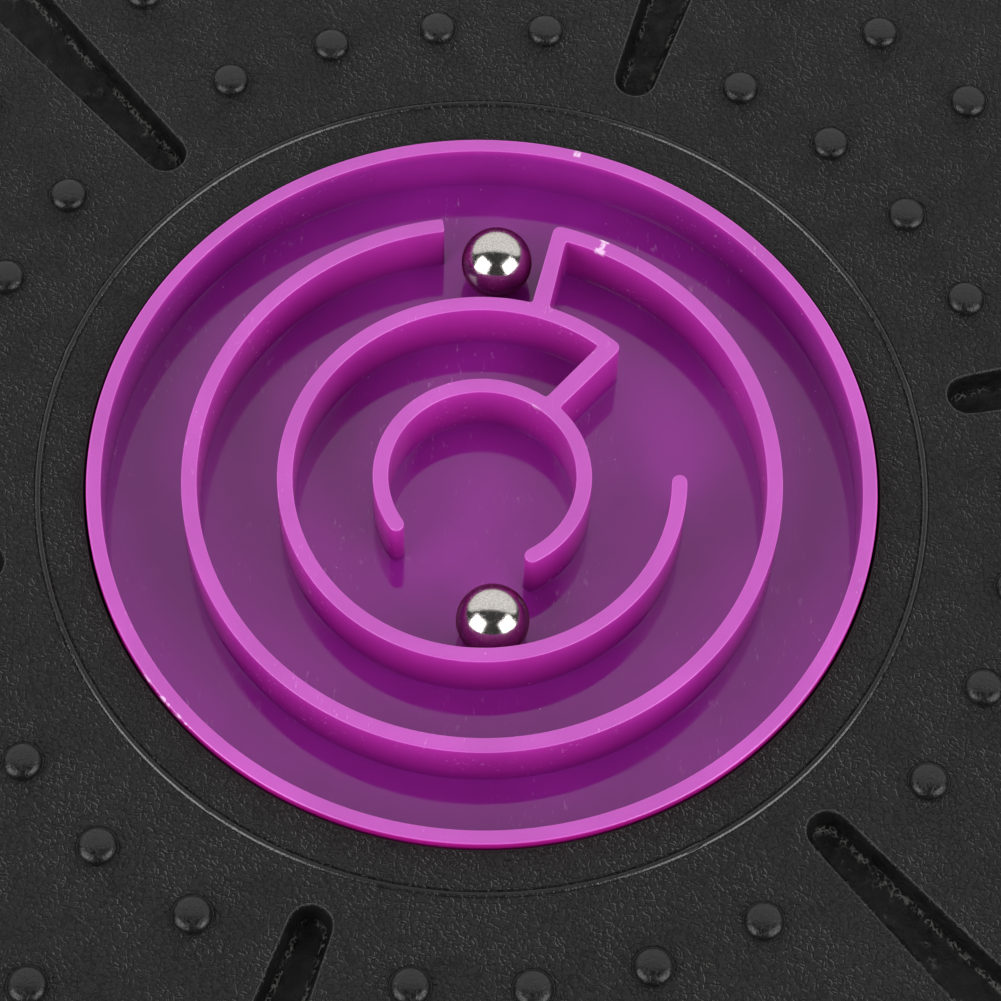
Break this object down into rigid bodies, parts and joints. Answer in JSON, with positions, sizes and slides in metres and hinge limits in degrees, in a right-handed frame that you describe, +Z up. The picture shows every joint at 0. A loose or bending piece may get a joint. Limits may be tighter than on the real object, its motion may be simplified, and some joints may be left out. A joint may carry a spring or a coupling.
{
  "type": "ball maze balance board",
  "caption": "Round balance board with grip nubs and radial grooves; a purple ball maze with steel balls sits in the middle of the deck, over a screwed-on dome.",
  "frame": {"origin": "on the floor at the centre of the foot pad, under the middle of the maze", "axes": "+Z up through the maze's centre and the dome; the gap of the outer ring wall lies towards +Y"},
  "size_m": [0.4, 0.4, 0.0711],
  "materials": {
    "deck_plastic": "satin moulded grain",
    "dome_plastic": "satin moulded grain",
    "tray_plastic": "glossy moulded",
    "ball_steel": "polished bearing ball",
    "screw_zinc": "zinc plated",
    "pad_rubber": "matte"
  },
  "bodies": {
    "board": {"deck": "deck_plastic", "base_dome": "dome_plastic", "foot_pad": "pad_rubber", "maze_tray": "tray_plastic", "dome_screw_1": "screw_zinc", "dome_screw_2": "screw_zinc", "dome_screw_3": "screw_zinc", "dome_screw_4": "screw_zinc", "dome_screw_5": "screw_zinc", "dome_screw_6": "screw_zinc", "tray_screw_1": "screw_zinc", "tray_screw_2": "screw_zinc", "tray_screw_3": "screw_zinc", "tray_screw_4": "screw_zinc"},
    "outer_ball": {"ball_outer": "ball_steel"},
    "inner_ball": {"ball_inner": "ball_steel"}
  },
  "joints": [
    {"name": "outer_ball_roll", "type": "slide", "parent": "board", "child": "outer_ball", "axis": [0.0314, 0.9995, 0], "range_m": [-0.0034, 0.013]},
    {"name": "inner_ball_orbit", "type": "hinge", "parent": "board", "child": "inner_ball", "pos_m": [0, 0, 0.06505], "axis": [0, 0, 1], "range_deg": [-206, 116]}
  ]
}
